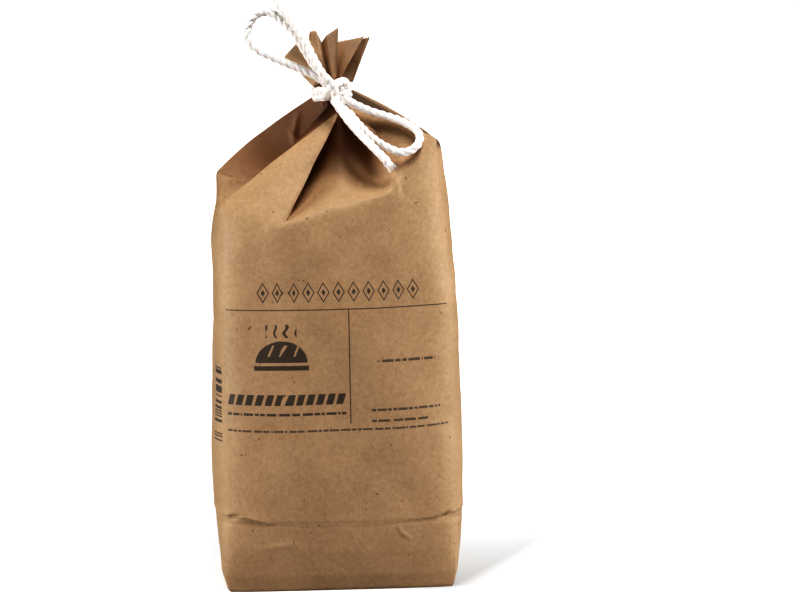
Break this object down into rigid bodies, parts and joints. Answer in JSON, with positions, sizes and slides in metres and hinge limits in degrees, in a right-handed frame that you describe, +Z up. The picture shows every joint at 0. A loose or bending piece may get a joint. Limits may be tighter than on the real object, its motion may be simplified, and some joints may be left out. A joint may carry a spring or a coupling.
{
  "type": "bag of flour",
  "caption": "Standing kraft paper bag filled with flour, pleated at the top into a fanned ruff and tied at the neck with a white cotton bow.",
  "frame": {"origin": "middle of the flat block bottom, on the surface that the bag stands on", "axes": "+Z up, +X to the right seen from the printed front, and the front faces -Y"},
  "size_m": [0.1179, 0.08, 0.2734],
  "materials": {
    "kraft_paper": "uncoated brown kraft, matt",
    "cotton_cord": "soft white cotton, three strands twisted"
  },
  "bodies": {
    "root": {"bag": "kraft_paper", "knot": "cotton_cord", "loop_left": "cotton_cord", "loop_right": "cotton_cord", "tail_left": "cotton_cord", "tail_right": "cotton_cord"}
  },
  "joints": []
}
